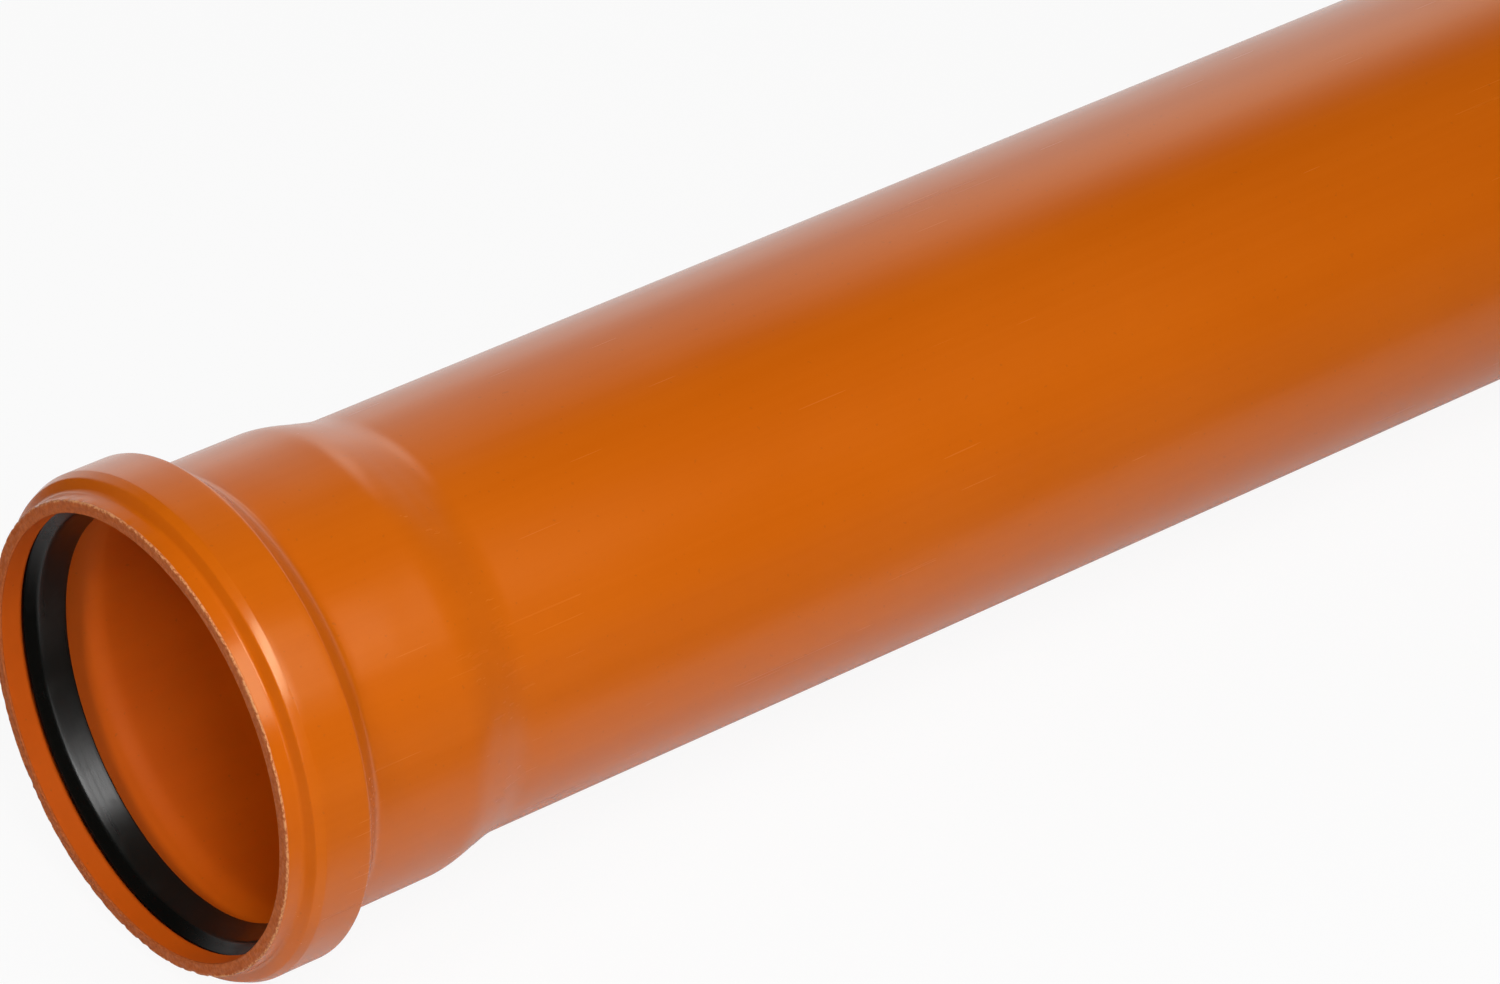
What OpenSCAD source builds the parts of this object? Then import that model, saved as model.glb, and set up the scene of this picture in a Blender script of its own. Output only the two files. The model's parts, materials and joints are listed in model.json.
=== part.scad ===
// Socketed plastic sewer pipe with its rubber ring seal.
// The profile is drawn as [distance from the mouth along the axis, radius]
// and turned about the axis. The pipe lies on the floor on two circles: the
// back edge of its bead and the spigot's end, so its axis falls a little
// towards the spigot. Z = 0 is the floor and +X runs from socket to spigot.

/* [Pipe] */
// Outside diameter of the barrel and the spigot
pipe_d = 110; // [100:1:200]
// Wall of the barrel
pipe_wall = 3.2; // [2.6:0.1:6]
// Length that the pipe adds to a run, from the socket's stop to the tip
laying_length = 1000; // [500:100:6000]

/* [Spigot] */
// Wall left at the spigot's tip by the chamfer
tip_wall = 1.6; // [1:0.1:2.4]
// Slope of the chamfer against the axis, in degrees
chamfer_angle = 15; // [12:1:30]

/* [Socket] */
// Depth that a spigot goes in, from the mouth to the stop
socket_depth = 57; // [45:1:120]
// Radial gap between the socket's bore and the spigot that it takes
socket_gap = 0.4; // [0.2:0.05:1]
// Wall of the socket behind the bead
socket_wall = 3.6; // [2.6:0.1:6]
// Length over which the socket narrows to the barrel
neck_length = 22; // [12:1:40]

/* [Mouth lip] */
// Length of the plain lip in front of the bead
lip_length = 4.6; // [3:0.1:8]
// Wall of the lip where it meets the bead
lip_wall = 3.9; // [2.6:0.1:5]
// Slope of the lip's outside down to the mouth, in degrees
lip_draft = 6; // [0:0.5:12]
// How far the lip's inside stands out from the socket's bore
lip_step = 2.6; // [1:0.1:3.5]
// Rounding of the lip's two front edges
lip_edge = 0.4; // [0.1:0.1:1]

/* [Bead] */
// Height of the bead over the outside of the socket
bead_rise = 7.1; // [6:0.1:10]
// Wall of the bead
bead_wall = 3.4; // [2.6:0.1:4]
// Axial run of the bead's steep front face
bead_front = 1.9; // [0.5:0.1:4]
// Length of the bead's top, from the line of its front face to its back edge
bead_top = 14.9; // [12:0.1:24]
// Axial run of the bead's sloping back
bead_back = 6.8; // [4:0.1:12]
// Axial run of the flat that breaks the bead's front shoulder
shoulder_run = 1.9; // [0.5:0.1:3]
// Drop of that flat below the bead's top
shoulder_drop = 1; // [0.3:0.1:2]
// Rounding of the flat's two edges
shoulder_round = 0.9; // [0.1:0.1:2]
// Rounding of the bead's back edge
back_round = 1.2; // [0.3:0.1:3]
// Rounding of the hollow in front of the bead
front_foot_round = 1.6; // [0.5:0.1:4]
// Rounding of the hollow behind the bead
back_foot_round = 4; // [0.5:0.5:8]
// Rounding of the groove's corners inside the bead
groove_round = 1.6; // [0.5:0.1:4]
// Rounding where the groove runs out into the socket's bore
run_out_round = 6; // [0.5:0.5:10]

/* [Seal] */
// Radial gap between the rubber ring and the bottom of its groove
seal_seat_gap = 0.2; // [0.1:0.05:0.5]
// Axial gap between the ring and the groove's front and back walls
seal_end_gap = 0.5; // [0.2:0.1:1]
// Radial gap between the pressed-back sealing lip and the spigot
seal_lip_gap = 0.2; // [0.1:0.05:0.5]
// Length of the ring from its nose to the sealing lip's free edge
seal_length = 9.6; // [7:0.1:11]
// Axial run of the nose's slope down to the sealing lip
seal_nose = 2; // [1:0.1:3]
// Rounding where the nose meets the sealing lip
seal_crown = 2.4; // [0.5:0.1:3]
// Thickness of the sealing lip at its free edge
seal_tip = 1; // [0.6:0.1:2]
// Depth of the slot behind the sealing lip
seal_slot = 3; // [1:0.1:4]
// Axial run of the sloping end of the ring's heel
seal_heel = 2; // [1:0.1:3]
// Rounding of the ring's other edges
seal_edge = 0.4; // [0.1:0.1:0.8]

/* [Hidden] */
$fn = 180;

// Radii, from the inside out.
spigot_r = pipe_d / 2;
pipe_bore_r = spigot_r - pipe_wall;
socket_bore_r = spigot_r + socket_gap;
socket_r = socket_bore_r + socket_wall;
lip_bore_r = socket_bore_r + lip_step;
lip_r = lip_bore_r + lip_wall;
mouth_r = lip_r - lip_length * tan(lip_draft);
bead_r = socket_r + bead_rise;
groove_r = bead_r - bead_wall;

// Places along the axis, from the mouth.
bead_x = lip_length + bead_front;
bead_end_x = bead_x + bead_top;
end_x = socket_depth + laying_length;
chamfer_depth = pipe_wall - tip_wall;
chamfer_x = end_x - chamfer_depth / tan(chamfer_angle);

// The groove's two walls run parallel to the bead's faces, a wall inside them.
front_rise = bead_r - lip_r;
front_shift = bead_wall * norm([bead_front, front_rise]) / front_rise;
back_shift = bead_wall * norm([bead_back, bead_rise]) / bead_rise;
function groove_front_x(r) =
    bead_x + (r - bead_r) * bead_front / front_rise + front_shift;
function groove_back_x(r) =
    bead_end_x + (bead_r - r) * bead_back / bead_rise - back_shift;

// Lying pose: the pipe turns about Y until the end of the bead's flat top and
// the edge of the chamfer are level, and then stands on them.
back_turn = atan2(bead_rise, bead_back);
rest_x = bead_end_x - back_round * tan(back_turn / 2);
tilt = atan2(bead_r - spigot_r, chamfer_x - rest_x);
lift = rest_x * sin(tilt) + bead_r * cos(tilt);
// Middle of the length that the tilted pipe covers.
mouth_low_x = -mouth_r * sin(tilt);
tip_high_x = end_x * cos(tilt) + (spigot_r - chamfer_depth) * sin(tilt);
mid_x = (mouth_low_x + tip_high_x) / 2;

// Steps of the neck's curve, and the angle that one facet of a round turns.
neck_steps = 14;
round_step = 9;

// A corner b between a and c, rounded to a radius that its sides leave room for.
function corner(a, b, c, radius) =
    let (
        u = (a - b) / norm(a - b),
        v = (c - b) / norm(c - b),
        half = acos(max(-1, min(1, u * v))) / 2,
        reach = min(radius / tan(half), norm(a - b) / 2, norm(c - b) / 2),
        centre = b + (u + v) / norm(u + v) * reach / cos(half),
        from = b + u * reach - centre,
        side = cross(u, v) > 0 ? -1 : 1,
        turn = 180 - 2 * half,
        steps = max(2, ceil(turn / round_step))
    )
    [for (i = [0:steps])
        let (s = side * turn * i / steps)
        centre + [from.x * cos(s) - from.y * sin(s), from.x * sin(s) + from.y * cos(s)]];

// A closed outline from corners given as [x, r, rounding].
function outline(corners) =
    let (n = len(corners))
    [for (i = [0:n - 1])
        let (
            at = [corners[i].x, corners[i].y],
            last = corners[(i + n - 1) % n],
            next = corners[(i + 1) % n]
        )
        each corners[i][2] > 0
            ? corner([last.x, last.y], at, [next.x, next.y], corners[i][2])
            : [at]];

// The smooth run of the neck from radius r0 at the stop to r1 at the barrel.
function neck(r0, r1) =
    [for (i = [0:neck_steps])
        let (t = i / neck_steps)
        [socket_depth + neck_length * t, r0 + (r1 - r0) * t * t * (3 - 2 * t), 0]];

function backwards(list) = [for (i = [len(list) - 1:-1:0]) list[i]];

// Turns an outline of [x, r] points about the axis and lays it on the floor.
module turned(points)
    translate([-mid_x, 0, lift])
        rotate([0, 90 + tilt, 0])
            rotate_extrude()
                polygon([for (p = points) [p.y, p.x]]);

// The moulded pipe: barrel, spigot, neck, socket, bead and mouth lip.
module pipe() {
    outside = concat(
        [
            [0, mouth_r, lip_edge],
            [lip_length, lip_r, front_foot_round],
            [bead_x - bead_front * shoulder_drop / front_rise, bead_r - shoulder_drop,
                shoulder_round],
            [bead_x + shoulder_run, bead_r, shoulder_round],
            [bead_end_x, bead_r, back_round],
            [bead_end_x + bead_back, socket_r, back_foot_round],
        ],
        neck(socket_r, spigot_r),
        [
            [chamfer_x, spigot_r, 0],
            [end_x, spigot_r - chamfer_depth, 0],
        ]);
    inside = concat(
        [[end_x, pipe_bore_r, 0]],
        backwards(neck(socket_bore_r, pipe_bore_r)),
        [
            [groove_back_x(socket_bore_r), socket_bore_r, run_out_round],
            [groove_back_x(groove_r), groove_r, groove_round],
            [groove_front_x(groove_r), groove_r, groove_round],
            [groove_front_x(lip_bore_r), lip_bore_r, groove_round],
            [0, lip_bore_r, lip_edge],
        ]);
    color([0.80, 0.38, 0.05])
        turned(outline(concat(outside, inside)));
}

// The rubber ring in the groove, its lip pressed back as a spigot presses it.
module seal_ring() {
    seat_r = groove_r - seal_seat_gap;
    seal_r = spigot_r + seal_lip_gap;
    middle_r = (seat_r + seal_r) / 2;
    nose_x = groove_front_x(middle_r) + seal_end_gap;
    tip_x = nose_x + seal_length;
    heel_x = groove_back_x(seat_r) - seal_end_gap;
    // The seat's corners follow the groove's, a gap further in.
    seat_round = max(seal_edge, groove_round - min(seal_seat_gap, seal_end_gap));
    corners = [
        [groove_front_x(seat_r) + seal_end_gap, seat_r, seat_round],
        [nose_x, middle_r, seal_edge],
        [nose_x + seal_nose, seal_r, seal_crown],
        [tip_x, seal_r, seal_edge],
        [tip_x, seal_r + seal_tip, seal_edge],
        [tip_x - seal_slot, middle_r, seal_edge],
        [heel_x - seal_heel, middle_r, seal_edge],
        [heel_x, seat_r, seat_round],
    ];
    color([0.10, 0.10, 0.10])
        turned(outline(corners));
}

pipe();
seal_ring();
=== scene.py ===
"""The looks of a socketed plastic sewer pipe and its rubber ring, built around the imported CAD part.

Lengths inside a piece are in the pipe's own frame: x runs along its axis from the mouth, and the
axis is at y = z = 0. to_row carries them into the row frame, where the pipe lies on the floor. The
shapes are written in millimetres, and the materials and the studio in metres.
"""

import json
import math

import bpy
from mathutils import Euler, Matrix, Vector, noise


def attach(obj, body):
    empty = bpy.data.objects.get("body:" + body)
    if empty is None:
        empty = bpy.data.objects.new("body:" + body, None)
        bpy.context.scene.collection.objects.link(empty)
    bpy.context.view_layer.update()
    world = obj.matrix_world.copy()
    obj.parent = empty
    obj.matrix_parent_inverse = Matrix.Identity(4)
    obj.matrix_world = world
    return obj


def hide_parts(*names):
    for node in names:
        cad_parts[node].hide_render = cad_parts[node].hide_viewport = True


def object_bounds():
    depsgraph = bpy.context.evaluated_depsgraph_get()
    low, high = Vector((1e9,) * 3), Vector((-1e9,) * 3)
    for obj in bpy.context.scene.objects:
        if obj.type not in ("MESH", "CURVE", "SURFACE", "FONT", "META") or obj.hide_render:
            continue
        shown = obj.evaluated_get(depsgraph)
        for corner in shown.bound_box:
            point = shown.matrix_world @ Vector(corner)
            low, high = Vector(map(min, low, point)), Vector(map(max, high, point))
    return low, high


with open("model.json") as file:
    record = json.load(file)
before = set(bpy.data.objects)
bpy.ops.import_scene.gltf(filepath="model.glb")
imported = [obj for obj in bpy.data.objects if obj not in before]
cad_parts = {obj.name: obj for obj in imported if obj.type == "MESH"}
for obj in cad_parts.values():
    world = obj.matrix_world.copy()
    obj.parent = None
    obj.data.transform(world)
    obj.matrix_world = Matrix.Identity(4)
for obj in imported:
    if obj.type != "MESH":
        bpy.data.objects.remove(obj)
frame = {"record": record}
cad_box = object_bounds()

MM = 0.001

# ---------------------------------------------------------------- where the pipe lies
SOCKET_MOUNT_X = 43  # how far the socket's mount lies behind the mouth
mounts = {m["name"]: m for m in frame["record"]["mounts"]}
axis = Vector(mounts["spigot"]["axis"]).normalized()
mouth = Vector(mounts["socket"]["pos_m"]) - SOCKET_MOUNT_X * MM * axis
lay = Euler((0.0, math.asin(-axis.z), 0.0))
to_row = Matrix.Translation(mouth) @ lay.to_matrix().to_4x4()

# ---------------------------------------------------------------- sizes of the pipe, as in the CAD source
SPIGOT_R = mounts["spigot"]["dims"]["r_mm"]
SOCKET_BORE_R = mounts["socket"]["dims"]["r_mm"]
PIPE_WALL = 3.2
SOCKET_WALL = 3.6
BEAD_WALL = 3.4
LIP_WALL = 3.9
LIP_STEP = 2.6  # how far the lip's inside stands out from the socket's bore
LIP_LENGTH = 4.6
LIP_DRAFT = math.radians(6)
BEAD_RISE = 7.1
BEAD_FRONT = 1.9
BEAD_TOP = 14.9
BEAD_BACK = 6.8
SHOULDER_RUN = 1.9
SHOULDER_DROP = 1.0
SOCKET_DEPTH = 57.0
NECK_LENGTH = 22.0
LAYING_LENGTH = 1000.0
CHAMFER_DEPTH = 1.6
CHAMFER_ANGLE = math.radians(15)

LIP_EDGE = 0.4
FRONT_FOOT_ROUND = 1.6
SHOULDER_ROUND = 0.9
BACK_ROUND = 1.2
BACK_FOOT_ROUND = 4.0
GROOVE_ROUND = 1.6
RUN_OUT_ROUND = 8.0  # softer than the CAD's 6
TIP_EDGE = 0.2  # the CAD's tip is sharp

BORE_R = SPIGOT_R - PIPE_WALL
SOCKET_R = SOCKET_BORE_R + SOCKET_WALL
LIP_BORE_R = SOCKET_BORE_R + LIP_STEP
LIP_R = LIP_BORE_R + LIP_WALL
MOUTH_R = LIP_R - LIP_LENGTH * math.tan(LIP_DRAFT)
BEAD_R = SOCKET_R + BEAD_RISE
GROOVE_R = BEAD_R - BEAD_WALL
BEAD_X = LIP_LENGTH + BEAD_FRONT
BEAD_END_X = BEAD_X + BEAD_TOP
END_X = SOCKET_DEPTH + LAYING_LENGTH
CHAMFER_X = END_X - CHAMFER_DEPTH / math.tan(CHAMFER_ANGLE)

# The groove's two walls run parallel to the bead's faces, a wall inside them.
FRONT_RISE = BEAD_R - LIP_R
FRONT_SHIFT = BEAD_WALL * math.hypot(BEAD_FRONT, FRONT_RISE) / FRONT_RISE
BACK_SHIFT = BEAD_WALL * math.hypot(BEAD_BACK, BEAD_RISE) / BEAD_RISE


def groove_front_x(r):
    return BEAD_X + (r - BEAD_R) * BEAD_FRONT / FRONT_RISE + FRONT_SHIFT


def groove_back_x(r):
    return BEAD_END_X + (BEAD_R - r) * BEAD_BACK / BEAD_RISE - BACK_SHIFT


# ---------------------------------------------------------------- sizes of the ring, its lip free
SEAL_SEAT_GAP = 0.2
SEAL_END_GAP = 0.5
SEAL_LIP_GAP = 0.2  # of the pressed-back lip in the CAD, which sets the ring's middle
SEAL_LENGTH = 9.6
SEAL_NOSE = 2.5
SEAL_CROWN_RISE = 1.1  # height of the nose's crown over the spigot
SEAL_CROWN = 2.4
SEAL_FREE_R = 53.7  # the sealing lip's edge before a spigot presses it back
SEAL_TIP = 1.0
SEAL_TIP_EDGE = 0.35
SEAL_SLOT = 3.0
SEAL_HEEL = 2.0
SEAL_EDGE = 0.4
SEAL_SEAT_ROUND = GROOVE_ROUND - SEAL_SEAT_GAP


# ---------------------------------------------------------------- profiles
def rounded(a, b, c, radius, facet=9.0):
    """The corner b between a and c as an arc in facets of so many degrees.

    The arc takes no more than half of either side.
    """
    a, b, c = (Vector(p) for p in (a, b, c))
    u, v = (a - b).normalized(), (c - b).normalized()
    half = u.angle(v) / 2
    reach = min(radius / math.tan(half), (a - b).length / 2, (c - b).length / 2)
    centre = b + (u + v).normalized() * reach / math.cos(half)
    start = b + u * reach - centre
    side = -1 if u.x * v.y - u.y * v.x > 0 else 1
    turn = math.pi - 2 * half
    steps = max(2, math.ceil(math.degrees(turn) / facet))
    arc = []
    for i in range(steps + 1):
        s = side * turn * i / steps
        cos_s, sin_s = math.cos(s), math.sin(s)
        arc.append(centre + Vector((start.x * cos_s - start.y * sin_s, start.x * sin_s + start.y * cos_s)))
    return arc


def outline(corners, longest):
    """A closed loop of (x, r) points from corners (x, r, rounding).

    No side is longer than what longest gives for its middle.
    """
    loop = []
    for i, (x, r, rounding) in enumerate(corners):
        if rounding > 0:
            following = corners[(i + 1) % len(corners)]
            loop += rounded(corners[i - 1][:2], (x, r), following[:2], rounding)
        else:
            loop.append(Vector((x, r)))
    out = []
    for a, b in zip(loop, loop[1:] + loop[:1]):
        parts = max(1, math.ceil((b - a).length / longest((a + b) / 2)))
        out += [a.lerp(b, k / parts) for k in range(parts)]
    return out


def neck(r0, r1, steps=18):
    """The smooth run of the neck from radius r0 at the stop to r1 at the barrel."""
    return [
        (SOCKET_DEPTH + NECK_LENGTH * t, r0 + (r1 - r0) * t * t * (3 - 2 * t), 0)
        for t in (i / steps for i in range(steps + 1))
    ]


def pipe_corners():
    outside = [
        (0, MOUTH_R, LIP_EDGE),
        (LIP_LENGTH, LIP_R, FRONT_FOOT_ROUND),
        (BEAD_X - BEAD_FRONT * SHOULDER_DROP / FRONT_RISE, BEAD_R - SHOULDER_DROP, SHOULDER_ROUND),
        (BEAD_X + SHOULDER_RUN, BEAD_R, SHOULDER_ROUND),
        (BEAD_END_X, BEAD_R, BACK_ROUND),
        (BEAD_END_X + BEAD_BACK, SOCKET_R, BACK_FOOT_ROUND),
        *neck(SOCKET_R, SPIGOT_R),
        (CHAMFER_X, SPIGOT_R, 0),
        (END_X, SPIGOT_R - CHAMFER_DEPTH, TIP_EDGE),
    ]
    inside = [
        (END_X, BORE_R, TIP_EDGE),
        *neck(SOCKET_BORE_R, BORE_R)[::-1],
        (groove_back_x(SOCKET_BORE_R), SOCKET_BORE_R, RUN_OUT_ROUND),
        (groove_back_x(GROOVE_R), GROOVE_R, GROOVE_ROUND),
        (groove_front_x(GROOVE_R), GROOVE_R, GROOVE_ROUND),
        (groove_front_x(LIP_BORE_R), LIP_BORE_R, GROOVE_ROUND),
        (0, LIP_BORE_R, LIP_EDGE),
    ]
    return outside + inside


def seal_corners():
    seat_r = GROOVE_R - SEAL_SEAT_GAP
    middle_r = (seat_r + SPIGOT_R + SEAL_LIP_GAP) / 2
    nose_x = groove_front_x(middle_r) + SEAL_END_GAP
    tip_x = nose_x + SEAL_LENGTH
    heel_x = groove_back_x(seat_r) - SEAL_END_GAP
    return [
        (groove_front_x(seat_r) + SEAL_END_GAP, seat_r, SEAL_SEAT_ROUND),
        (nose_x, middle_r, SEAL_EDGE),
        (nose_x + SEAL_NOSE, SPIGOT_R + SEAL_CROWN_RISE, SEAL_CROWN),
        (tip_x, SEAL_FREE_R, SEAL_TIP_EDGE),
        (tip_x, SEAL_FREE_R + SEAL_TIP, SEAL_TIP_EDGE),
        (tip_x - SEAL_SLOT, middle_r, SEAL_EDGE),
        (heel_x - SEAL_HEEL, middle_r, SEAL_EDGE),
        (heel_x, seat_r, SEAL_SEAT_ROUND),
    ]


# ---------------------------------------------------------------- meshes
def turned(name, points, around, shape=None):
    """A closed ring: the loop of (x, r) points turned about the axis, in as many steps as around.

    shape(x, r, angle) returns how far a point moves along x and r, in millimetres.
    """
    verts = []
    for k in range(around):
        phi = 2 * math.pi * k / around
        c, s = math.cos(phi), math.sin(phi)
        for x, r in points:
            if shape:
                dx, dr = shape(x, r, phi)
                x, r = x + dx, r + dr
            verts.append(to_row @ Vector((x * MM, r * c * MM, r * s * MM)))
    n = len(points)
    faces = []
    for k in range(around):
        here, beyond = k * n, (k + 1) % around * n
        for i in range(n):
            j = (i + 1) % n
            faces.append((here + i, here + j, beyond + j, beyond + i))
    mesh = bpy.data.meshes.new(name)
    mesh.from_pydata(verts, [], faces)
    mesh.validate()
    mesh.shade_smooth()
    mesh.set_sharp_from_angle(angle=math.radians(32))
    obj = bpy.data.objects.new(name, mesh)
    bpy.context.scene.collection.objects.link(obj)
    return obj


def smooth_step(lo, hi, x):
    t = min(1.0, max(0.0, (x - lo) / (hi - lo)))
    return t * t * (3 - 2 * t)


def ripple(phi, turns, row, seed):
    """Smooth noise from -1 to 1 that closes on itself round the pipe, about turns waves long."""
    reach = turns / (2 * math.pi)
    return noise.noise(Vector((reach * math.cos(phi), reach * math.sin(phi), row + 31.7 * seed)))


def dent(depth, phi, turns, row, seed):
    """A rippled depth, never below 0 and on average depth."""
    return depth * (1 + ripple(phi, turns, row, seed))


def pipe_shape(x, r, phi):
    """How the real pipe differs from the turned outline: always a little inside it."""
    dx = dr = 0.0
    front = 1 - smooth_step(0.3, 1.6, x)
    if front > 0:
        # the trimmed mouth: a wandering cut, rough from the saw
        wander = dent(0.10, phi, turns=9, row=0, seed=1)
        dx += front * (wander + dent(0.07, phi, turns=160, row=r * 0.9, seed=2))
    edge = (1 - smooth_step(0.2, 1.0, x)) * smooth_step(MOUTH_R - 0.9, MOUTH_R, r)
    if edge > 0:
        # small chips on the cut's outer edge
        chip = max(0.0, ripple(phi, turns=190, row=0, seed=3) - 0.08)
        dr -= edge * 0.55 * chip
        dx += edge * 0.45 * chip
    if x > CHAMFER_X:
        dx -= smooth_step(END_X - 2.0, END_X, x) * dent(0.06, phi, turns=60, row=0, seed=4)
    # the socket was blown out over a mandrel, so its outside isn't quite true
    formed = smooth_step(LIP_LENGTH, BEAD_X, x) * (1 - smooth_step(70, 110, x))
    if formed > 0 and r > BORE_R + 5:
        broad = dent(0.07, phi, turns=14, row=x / 17, seed=5)
        dr -= formed * (broad + dent(0.03, phi, turns=40, row=x / 6, seed=6))
    return dx, dr


def pipe_longest(point):
    """The longest side allowed at a point: short at the ragged mouth and long on the barrel."""
    if point.x < 1.2:
        return 0.45
    if point.x < 90:
        return 2.0
    return 32.0


SEAL_SIDE = 0.8

pipe = turned("pipe_detailed", outline(pipe_corners(), pipe_longest), around=384, shape=pipe_shape)
seal = turned("seal_ring_detailed", outline(seal_corners(), lambda point: SEAL_SIDE), around=320)
for piece, node, slot in ((pipe, "pipe", "pipe_plastic"), (seal, "seal_ring", "seal_rubber")):
    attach(piece, "root")
    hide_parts(node)


# ---------------------------------------------------------------- node trees
class Graph:
    """A node tree, with short names for the nodes that the materials and the studio share."""

    def __init__(self, block):
        block.use_nodes = True
        self.tree = block.node_tree

    def new(self, kind):
        return self.tree.nodes.new(kind)

    def put(self, value, socket):
        if isinstance(value, bpy.types.NodeSocket):
            self.tree.links.new(value, socket)
        else:
            socket.default_value = value

    def math(self, operation, *values, clamp=False):
        node = self.new("ShaderNodeMath")
        node.operation, node.use_clamp = operation, clamp
        for value, socket in zip(values, node.inputs):
            self.put(value, socket)
        return node.outputs[0]

    def add(self, first, *rest):
        for value in rest:
            first = self.math("ADD", first, value)
        return first

    def times(self, first, *rest):
        for value in rest:
            first = self.math("MULTIPLY", first, value)
        return first

    def ramp(self, value, lo, hi, out_lo=0.0, out_hi=1.0):
        """A smooth step from out_lo, where value is lo, to out_hi, where it is hi."""
        node = self.new("ShaderNodeMapRange")
        node.interpolation_type = "SMOOTHSTEP"
        for v, socket in zip((value, lo, hi, out_lo, out_hi), node.inputs):
            self.put(v, socket)
        return node.outputs[0]

    def dot(self, a, b):
        node = self.new("ShaderNodeVectorMath")
        node.operation = "DOT_PRODUCT"
        self.put(a, node.inputs[0])
        self.put(b, node.inputs[1])
        return node.outputs["Value"]

    def split(self, vector):
        node = self.new("ShaderNodeSeparateXYZ")
        self.put(vector, node.inputs[0])
        return node.outputs


class PieceMaterial(Graph):
    """A material whose coordinates are the pipe's own frame, in metres."""

    def __init__(self, name):
        self.material = bpy.data.materials.new(name)
        super().__init__(self.material)
        self.shader = self.tree.nodes["Principled BSDF"]
        self.normal = None
        own = self.new("ShaderNodeMapping")
        own.vector_type = "TEXTURE"
        own.inputs["Location"].default_value = mouth
        own.inputs["Rotation"].default_value = lay
        self.put(self.new("ShaderNodeTexCoord").outputs["Object"], own.inputs["Vector"])
        self.own = own.outputs["Vector"]
        self.x, self.y, self.z = self.split(self.own)

    def grain(self, scale, stretch=(1, 1, 1), detail=2.0, rough=0.5, seed=0.0):
        """Noise from about 0.25 to 0.75, with scale features in a metre.

        A larger stretch makes it finer along that axis.
        """
        shift = self.new("ShaderNodeMapping")
        shift.inputs["Scale"].default_value = stretch
        shift.inputs["Location"].default_value = (seed, seed * 1.7, seed * 0.6)
        self.put(self.own, shift.inputs["Vector"])
        node = self.new("ShaderNodeTexNoise")
        self.put(shift.outputs[0], node.inputs["Vector"])
        node.inputs["Scale"].default_value = scale
        node.inputs["Detail"].default_value = detail
        node.inputs["Roughness"].default_value = rough
        return node.outputs["Fac"]

    def centred(self, value, amount):
        """The part of a grain either side of its middle, amount times as strong."""
        return self.times(self.add(value, -0.5), amount)

    def mix(self, factor, a, b):
        node = self.new("ShaderNodeMix")
        node.data_type = "RGBA"
        self.put(factor, node.inputs["Factor"])
        for value, socket in zip((a, b), [s for s in node.inputs if s.type == "RGBA"]):
            self.put((*value, 1.0) if isinstance(value, tuple) else value, socket)
        return [s for s in node.outputs if s.type == "RGBA"][0]

    def bump(self, height, distance):
        """height is a value of about 0 to 1 and distance, in metres, is what 1 stands for."""
        node = self.new("ShaderNodeBump")
        node.inputs["Strength"].default_value = 1.0
        node.inputs["Distance"].default_value = distance
        self.put(height, node.inputs["Height"])
        if self.normal is not None:
            self.put(self.normal, node.inputs["Normal"])
        self.normal = node.outputs[0]

    def finish(self, colour, roughness):
        self.put(colour, self.shader.inputs["Base Color"])
        self.put(roughness, self.shader.inputs["Roughness"])
        self.put(self.normal, self.shader.inputs["Normal"])
        return self.material


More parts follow.
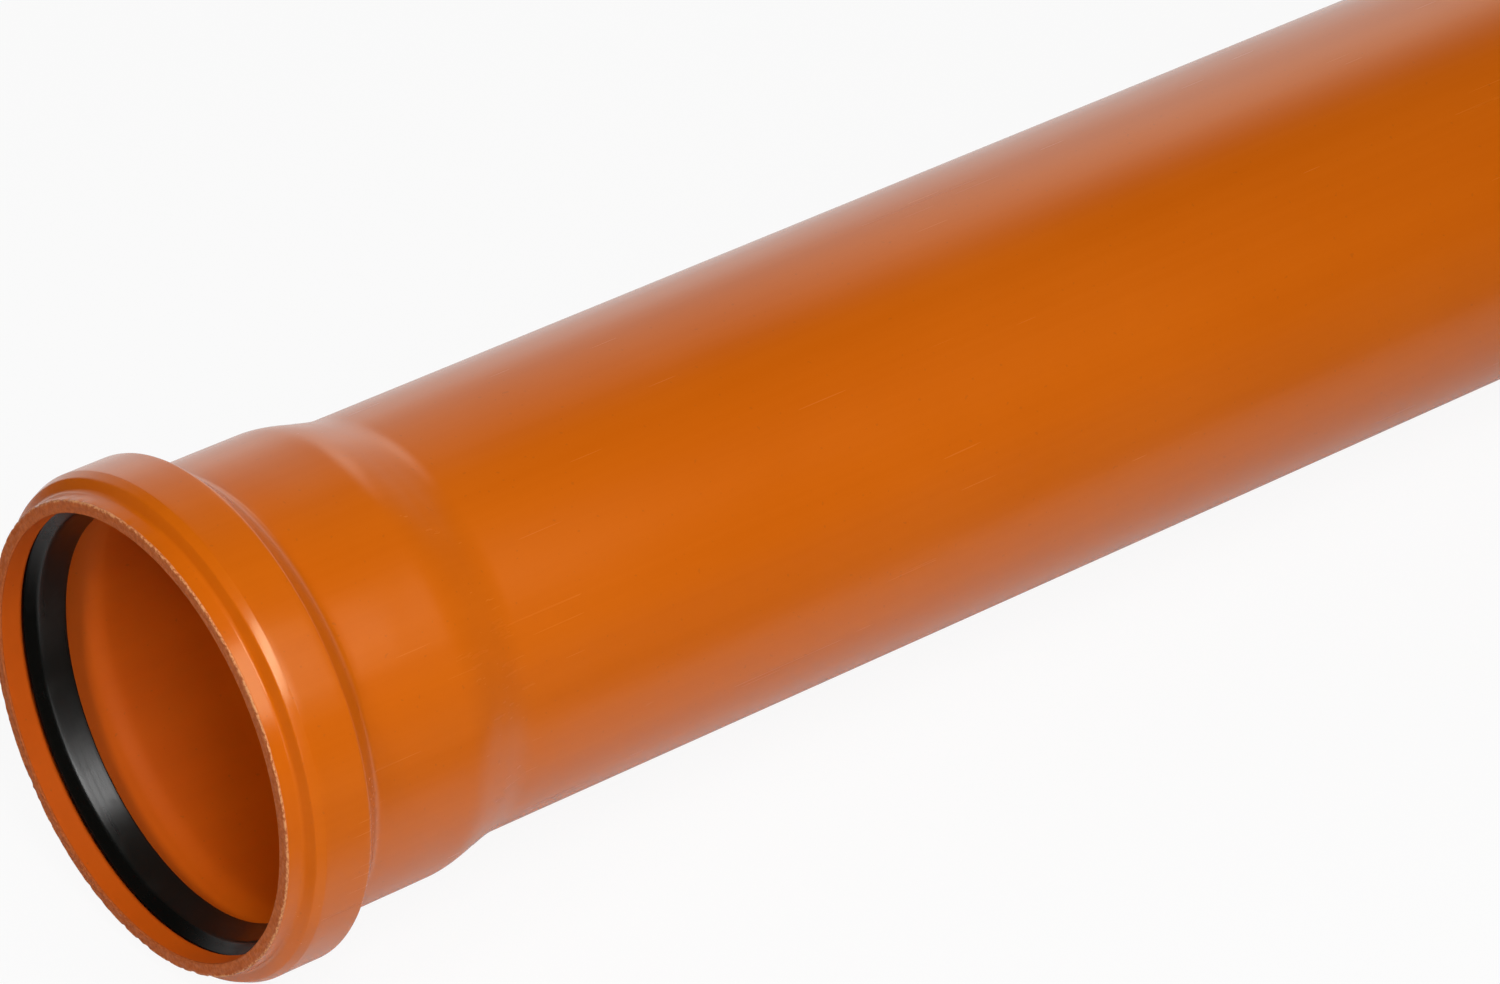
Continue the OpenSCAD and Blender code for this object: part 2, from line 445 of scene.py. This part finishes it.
# ---------------------------------------------------------------- materials
def pipe_plastic():
    n = PieceMaterial("pipe_plastic_detailed")
    radius = n.math("SQRT", n.add(n.times(n.y, n.y), n.times(n.z, n.z)))
    outward = n.new("ShaderNodeCombineXYZ")
    n.put(n.math("DIVIDE", n.y, radius), outward.inputs["Y"])
    n.put(n.math("DIVIDE", n.z, radius), outward.inputs["Z"])
    facing = n.dot(n.new("ShaderNodeNewGeometry").outputs["True Normal"], outward.outputs[0])

    # where the surface is inside, sawn at the mouth, or turned at the spigot's tip
    inside = n.ramp(facing, 0.1, -0.1)
    cut = n.ramp(n.x, 0.00045, 0.0008, 1.0, 0.0)
    chamfered = n.ramp(n.x, CHAMFER_X * MM, (CHAMFER_X + 0.4) * MM)
    turned_tip = n.times(chamfered, n.ramp(facing, -0.6, -0.3))  # not the bore
    cut_any = n.math("MAXIMUM", cut, turned_tip)
    uncut = n.math("SUBTRACT", 1.0, cut_any)
    drawn = n.ramp(n.x, 0.03, 0.09)  # the socket's end is formed smooth

    lines = n.grain(1.0, (4, 620, 620), detail=3)  # drawn lines left by the die
    bands = n.grain(1.0, (1.6, 95, 95), detail=1, seed=3)  # broad streaks of tone
    clouds = n.grain(14.0, detail=2, seed=5)
    orange_peel = n.grain(1500.0, detail=1, seed=7)
    scratch = n.ramp(n.grain(1.0, (30, 1700, 1700), detail=0, seed=11), 0.83, 0.90)
    scratch = n.times(drawn, scratch)
    speck = n.ramp(n.grain(900.0, detail=0, seed=17), 0.8, 0.85)
    saw = n.grain(1.0, (2500, 1100, 1100), detail=3, rough=0.6, seed=19)

    tone = n.add(n.centred(bands, 0.55), n.centred(clouds, 0.7), n.centred(lines, 0.35), 0.5)
    tone = n.math("MULTIPLY", tone, 1.0, clamp=True)
    # Inside the pipe the plastic takes a redder, less yellow colour: a painted tint of the orange light
    # that bounces about in there, not a colour of its own.
    outer_plastic_colour = n.mix(tone, (0.575, 0.108, 0.0020), (0.655, 0.136, 0.0040))
    inside_bounce_tinted_colour = n.mix(tone, (0.655, 0.098, 0.0012), (0.735, 0.124, 0.0024))  # inside: redder, a painted tint of the light bouncing inside the pipe
    colour = n.mix(inside, outer_plastic_colour, inside_bounce_tinted_colour)
    colour = n.mix(n.times(scratch, 0.05), colour, (0.70, 0.22, 0.05))
    colour = n.mix(n.times(speck, 0.35), colour, (0.42, 0.09, 0.01))

    # the cut face, and a pale painted highlight along its ragged outer rim, where the saw's edge catches
    # the light
    ragged_radius = n.add(radius, n.centred(saw, 0.0014))
    rim = n.ramp(ragged_radius, (MOUTH_R - 0.65) * MM, (MOUTH_R - 0.15) * MM)
    rim_highlight = n.times(rim, cut, n.ramp(saw, 0.4, 0.58, 0.1, 0.8))
    cut_face = n.mix(n.ramp(saw, 0.3, 0.7), (0.41, 0.078, 0.014), (0.55, 0.135, 0.034))
    # the pale rim colour is a painted highlight
    cut_face = n.mix(rim_highlight, cut_face, (0.80, 0.38, 0.16))
    colour = n.mix(cut_any, colour, cut_face)

    roughness = n.add(
        0.24,
        n.centred(lines, 0.10),
        n.centred(clouds, 0.12),
        n.times(scratch, 0.08),
        n.times(inside, 0.45),
        n.times(cut_any, 0.31),
    )

    n.bump(n.times(clouds, uncut), 0.00010)
    n.bump(n.times(bands, drawn, uncut), 0.000045)
    n.bump(n.times(lines, drawn, uncut), 0.000010)
    n.bump(orange_peel, 0.0000035)
    n.bump(n.times(saw, cut_any), 0.00016)
    tool_marks = n.math("SINE", n.times(n.x, 2 * math.pi / (0.35 * MM)))
    n.bump(n.times(tool_marks, turned_tip), 0.000006)
    n.bump(n.times(scratch, uncut), -0.000002)
    n.shader.inputs["IOR"].default_value = 1.53
    n.shader.inputs["Specular Tint"].default_value = (1.0, 0.82, 0.52, 1.0)
    return n.finish(colour, roughness)


def seal_rubber():
    n = PieceMaterial("seal_rubber_detailed")
    fine = n.grain(2200.0, detail=2, seed=2)
    clouds = n.grain(45.0, detail=3, seed=4)
    rings = n.grain(1.0, (1500, 14, 14), detail=2, seed=6)  # turned marks of the mould
    bloom = n.ramp(n.grain(120.0, detail=4, rough=0.6, seed=8), 0.5, 0.75)
    nose = n.ramp(n.x, 0.0094, 0.0106, 1.0, 0.0)
    end = n.ramp(n.x, 0.0164, 0.0170)
    colour = n.mix(n.times(bloom, 0.5), (0.0055, 0.006, 0.005), (0.014, 0.015, 0.013))
    # The nose and the end of the free lip are painted near black: painted shade of the dark gap in front
    # of the nose and of the shadow line behind the lip's edge.
    colour = n.mix(n.math("MAXIMUM", nose, end), colour, (0.004, 0.0042, 0.0036))
    roughness = n.add(
        0.31,
        n.times(nose, -0.09),
        n.centred(clouds, 0.18),
        n.centred(rings, 0.10),
        n.times(bloom, 0.08),
    )
    n.bump(clouds, 0.00006)
    n.bump(rings, 0.000010)
    n.bump(fine, 0.000004)
    return n.finish(colour, roughness)


pipe.data.materials.append(pipe_plastic())
seal.data.materials.append(seal_rubber())

# ---------------------------------------------------------------- camera
low = cad_box[0]
AIM = Vector((low.x + 0.1904, 0.0, low.z + 0.0598))  # on the axis, a little behind the neck
HEADING = math.radians(51.23)  # from +X towards +Y
ELEVATION = math.radians(33.32)
DISTANCE = 2.098


def direction(heading, elevation):
    flat = math.cos(elevation)
    return Vector((flat * math.cos(heading), flat * math.sin(heading), math.sin(elevation)))


look = direction(HEADING, -ELEVATION)
camera = bpy.data.objects.new("camera", bpy.data.cameras.new("camera"))
bpy.context.scene.collection.objects.link(camera)
camera.data.sensor_width = 36.0
camera.data.lens = 198.6
camera.location = AIM - look * DISTANCE
camera.rotation_euler = look.to_track_quat("-Z", "Y").to_euler()
camera.data.clip_start, camera.data.clip_end = 0.05, 100.0
bpy.context.scene.camera = camera


# ---------------------------------------------------------------- studio
class Studio(Graph):
    """An empty node tree with an output, for the floor or the world."""

    def __init__(self, block, output):
        super().__init__(block)
        self.tree.nodes.clear()
        self.output = self.new(output)
        path = self.new("ShaderNodeLightPath").outputs
        self.camera_ray, self.glossy_ray = path["Is Camera Ray"], path["Is Glossy Ray"]


def floor_material():
    """White to the camera but for the shadow.

    A reflection sees the floor as it is near the pipe, further off as a white backdrop behind the
    pipe, and as a dark studio on the camera's side and in front of the mouth.
    """
    material = bpy.data.materials.new("studio_floor")
    s = Studio(material, "ShaderNodeOutputMaterial")
    diffuse = s.new("ShaderNodeBsdfDiffuse")
    diffuse.inputs["Color"].default_value = (0.75, 0.75, 0.75, 1)
    glow = s.new("ShaderNodeEmission")
    glow.inputs["Color"].default_value = (1, 1, 1, 1)

    along, across, _ = s.split(s.new("ShaderNodeNewGeometry").outputs["Position"])
    behind = s.ramp(across, 0.12, 0.26, 0.25, 1.0)
    before = s.ramp(across, -0.15, -0.06, 1.0, 0.25)
    in_front = s.ramp(along, low.x - 0.06, low.x, 1.0, 0.0)
    to_glossy = s.math("MAXIMUM", s.math("MAXIMUM", behind, before), in_front)
    share = s.add(s.times(s.camera_ray, 0.92), s.times(s.glossy_ray, to_glossy))
    lit = s.times(s.ramp(across, -0.17, -0.06), s.math("SUBTRACT", 1.0, in_front))
    s.put(s.math("MAXIMUM", s.camera_ray, lit), glow.inputs["Strength"])

    mixer = s.new("ShaderNodeMixShader")
    s.put(share, mixer.inputs[0])
    s.put(diffuse.outputs[0], mixer.inputs[1])
    s.put(glow.outputs[0], mixer.inputs[2])
    s.put(mixer.outputs[0], s.output.inputs["Surface"])
    return material


def studio_world():
    """White to the camera. The pipe sees a white wall behind it and a soft panel beyond the neck."""
    world = bpy.data.worlds.new("studio")
    s = Studio(world, "ShaderNodeOutputWorld")
    back = s.new("ShaderNodeBackground")
    back.inputs["Color"].default_value = (1, 1, 1, 1)
    ray = s.new("ShaderNodeTexCoord").outputs["Generated"]
    ahead = s.dot(ray, look)
    along = s.split(ray)["X"]
    wall = s.add(s.ramp(ahead, 0.06, 0.52, 0.0, 0.62), s.ramp(ahead, 0.45, 0.85, 0.0, 0.58))
    across_panel = s.times(s.ramp(along, 0.542, 0.60), s.ramp(along, 0.64, 0.70, 1.0, 0.0))
    up_panel = s.times(s.ramp(ahead, -0.02, 0.34, 0.0, 1.75), s.ramp(ahead, 0.38, 0.80, 1.0, 0.05))
    white = s.new("ShaderNodeMix")
    white.data_type = "FLOAT"
    white.inputs["B"].default_value = 1.0
    s.put(s.camera_ray, white.inputs["Factor"])
    s.put(s.add(wall, s.times(across_panel, up_panel)), white.inputs["A"])
    s.put(white.outputs["Result"], back.inputs["Strength"])
    s.put(back.outputs[0], s.output.inputs["Surface"])
    return world


def softbox(name, azimuth, elevation, distance, width, height, watts, glossy=True):
    """A soft area light round the aim point. Azimuth is from the camera's side, to its left."""
    away = direction(HEADING + math.pi - math.radians(azimuth), math.radians(elevation))
    data = bpy.data.lights.new(name, "AREA")
    data.shape, data.size, data.size_y, data.energy = "RECTANGLE", width, height, watts
    lamp = bpy.data.objects.new(name, data)
    lamp.location = AIM + away * distance
    lamp.rotation_euler = (-away).to_track_quat("-Z", "Y").to_euler()
    lamp.visible_glossy = glossy
    bpy.context.scene.collection.objects.link(lamp)


FLOOR_HALF = 12.0
floor_mesh = bpy.data.meshes.new("floor")
floor_corners = [(x * FLOOR_HALF, y * FLOOR_HALF, 0) for x, y in ((-1, -1), (1, -1), (1, 1), (-1, 1))]
floor_mesh.from_pydata(floor_corners, [], [(0, 1, 2, 3)])
floor = bpy.data.objects.new("floor", floor_mesh)
bpy.context.scene.collection.objects.link(floor)
floor_mesh.materials.append(floor_material())
bpy.context.scene.world = studio_world()

softbox("key", azimuth=-6, elevation=44.5, distance=1.6, width=0.3, height=0.85, watts=10.2)
softbox("side", azimuth=-40, elevation=43, distance=0.9, width=0.42, height=0.52, watts=2.9)
softbox("left", azimuth=34, elevation=38, distance=1.6, width=0.4, height=0.4, watts=6.9, glossy=False)
softbox("low", azimuth=-6, elevation=16, distance=1.6, width=0.2, height=0.7, watts=1.4)
softbox("back", azimuth=180, elevation=10, distance=1.6, width=1.2, height=0.4, watts=2.5, glossy=False)

bpy.context.scene.view_settings.view_transform = "Standard"
